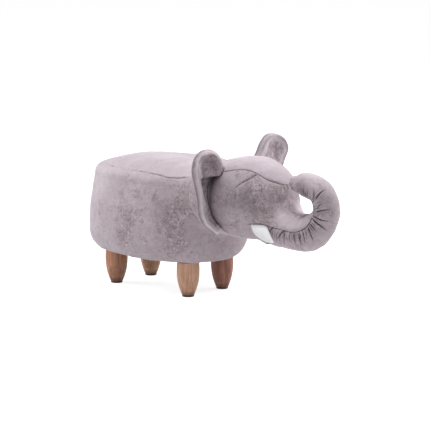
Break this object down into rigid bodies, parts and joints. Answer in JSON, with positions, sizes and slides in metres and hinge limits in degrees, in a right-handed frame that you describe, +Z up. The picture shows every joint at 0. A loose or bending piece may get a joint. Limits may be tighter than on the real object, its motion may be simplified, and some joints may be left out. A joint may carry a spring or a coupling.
{
  "type": "animal footstool",
  "caption": "Elephant-shaped upholstered footstool on turned wooden legs, with padded ears, short tusks and a trunk that curls up into a loop.",
  "frame": {"origin": "on the floor under the middle of the overall box", "axes": "+X along the body towards the head, +Y towards the animal's left side, +Z up"},
  "size_m": [0.6682, 0.2994, 0.337],
  "materials": {
    "cover_fabric": "brushed faux suede with a mottled, worn print",
    "foam": "open-cell foam",
    "stuffing": "loose polyester fibre",
    "tusk_felt": "soft short-napped felt",
    "leg_wood": "stained, satin",
    "frame_wood": "raw plywood and pine",
    "hardboard": "raw hardboard",
    "lining": "non-woven black lining",
    "zinc_steel": "zinc plated",
    "glide_plastic": "moulded"
  },
  "bodies": {
    "root": {"base_board": "frame_wood", "top_board": "frame_wood", "frame_wall": "hardboard", "frame_post_front_left": "frame_wood", "frame_post_front_right": "frame_wood", "frame_post_rear_left": "frame_wood", "frame_post_rear_right": "frame_wood", "seat_foam": "foam", "side_foam": "foam", "side_cover": "cover_fabric", "seat_cover": "cover_fabric", "dust_cover": "lining", "leg_front_left": "leg_wood", "leg_bolt_front_left": "zinc_steel", "leg_nut_front_left": "zinc_steel", "leg_glide_front_left": "glide_plastic", "leg_front_right": "leg_wood", "leg_bolt_front_right": "zinc_steel", "leg_nut_front_right": "zinc_steel", "leg_glide_front_right": "glide_plastic", "leg_rear_left": "leg_wood", "leg_bolt_rear_left": "zinc_steel", "leg_nut_rear_left": "zinc_steel", "leg_glide_rear_left": "glide_plastic", "leg_rear_right": "leg_wood", "leg_bolt_rear_right": "zinc_steel", "leg_nut_rear_right": "zinc_steel", "leg_glide_rear_right": "glide_plastic", "head_stuffing": "stuffing", "trunk_stuffing": "stuffing", "forehead_panel": "cover_fabric", "cheek_panel_left": "cover_fabric", "cheek_panel_right": "cover_fabric", "trunk_gusset": "cover_fabric", "ear_back_left": "cover_fabric", "ear_front_left": "cover_fabric", "ear_back_right": "cover_fabric", "ear_front_right": "cover_fabric", "tusk_left": "tusk_felt", "tusk_right": "tusk_felt"}
  },
  "joints": []
}
